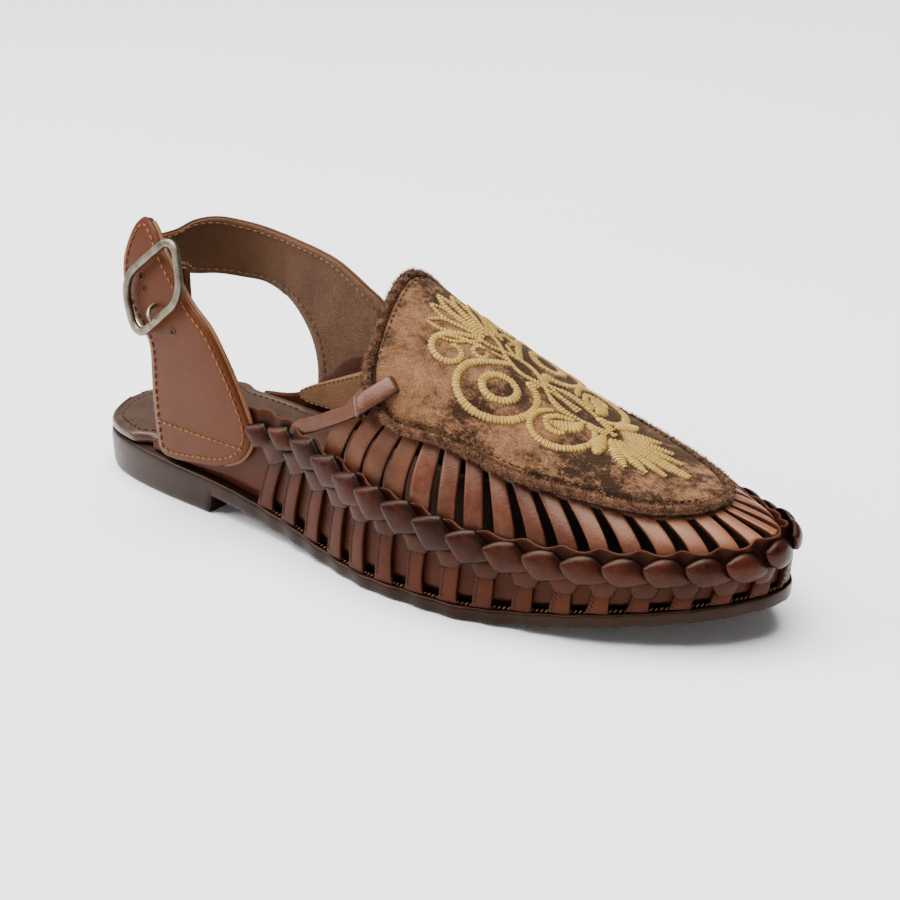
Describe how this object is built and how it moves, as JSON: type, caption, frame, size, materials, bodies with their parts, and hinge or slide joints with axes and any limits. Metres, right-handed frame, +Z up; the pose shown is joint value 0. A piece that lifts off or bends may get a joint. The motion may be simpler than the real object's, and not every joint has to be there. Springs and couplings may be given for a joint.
{
  "type": "slingback sandal",
  "caption": "Right-foot slingback sandal: closed slashed leather vamp with embroidered velvet panel, braided side band, buckled heel strap, low-heeled sole.",
  "frame": {"origin": "centre of the bounding box's base, on the floor the sole stands on", "axes": "+X to the toe, +Y to the big-toe side, +Z up"},
  "size_m": [0.2646, 0.0974, 0.0958],
  "materials": {
    "outsole": "satin moulded rubber",
    "footbed": "smooth dark leather",
    "band_leather": "smooth tan leather, raw edges",
    "braid_leather": "glossy dark leather",
    "vamp_leather": "smooth reddish leather",
    "velvet": "crushed velvet with satin-stitch scrollwork",
    "velvet_edge": "rolled velvet",
    "strap_leather": "tan leather, stitched edges",
    "lining_leather": "light brown lining leather",
    "buckle_metal": "antiqued pewter colour"
  },
  "bodies": {
    "root": {"outsole": "outsole", "footbed": "footbed", "side_band": "band_leather", "braid": "braid_leather", "vamp": "vamp_leather", "vamp_panel": "velvet", "panel_roll": "velvet_edge", "throat_strap_lateral": "band_leather", "throat_strap_medial": "band_leather", "buckle_strap": "strap_leather", "back_strap": "strap_leather", "lining_tab": "lining_leather", "buckle_frame": "buckle_metal", "buckle_prong": "buckle_metal"}
  },
  "joints": []
}
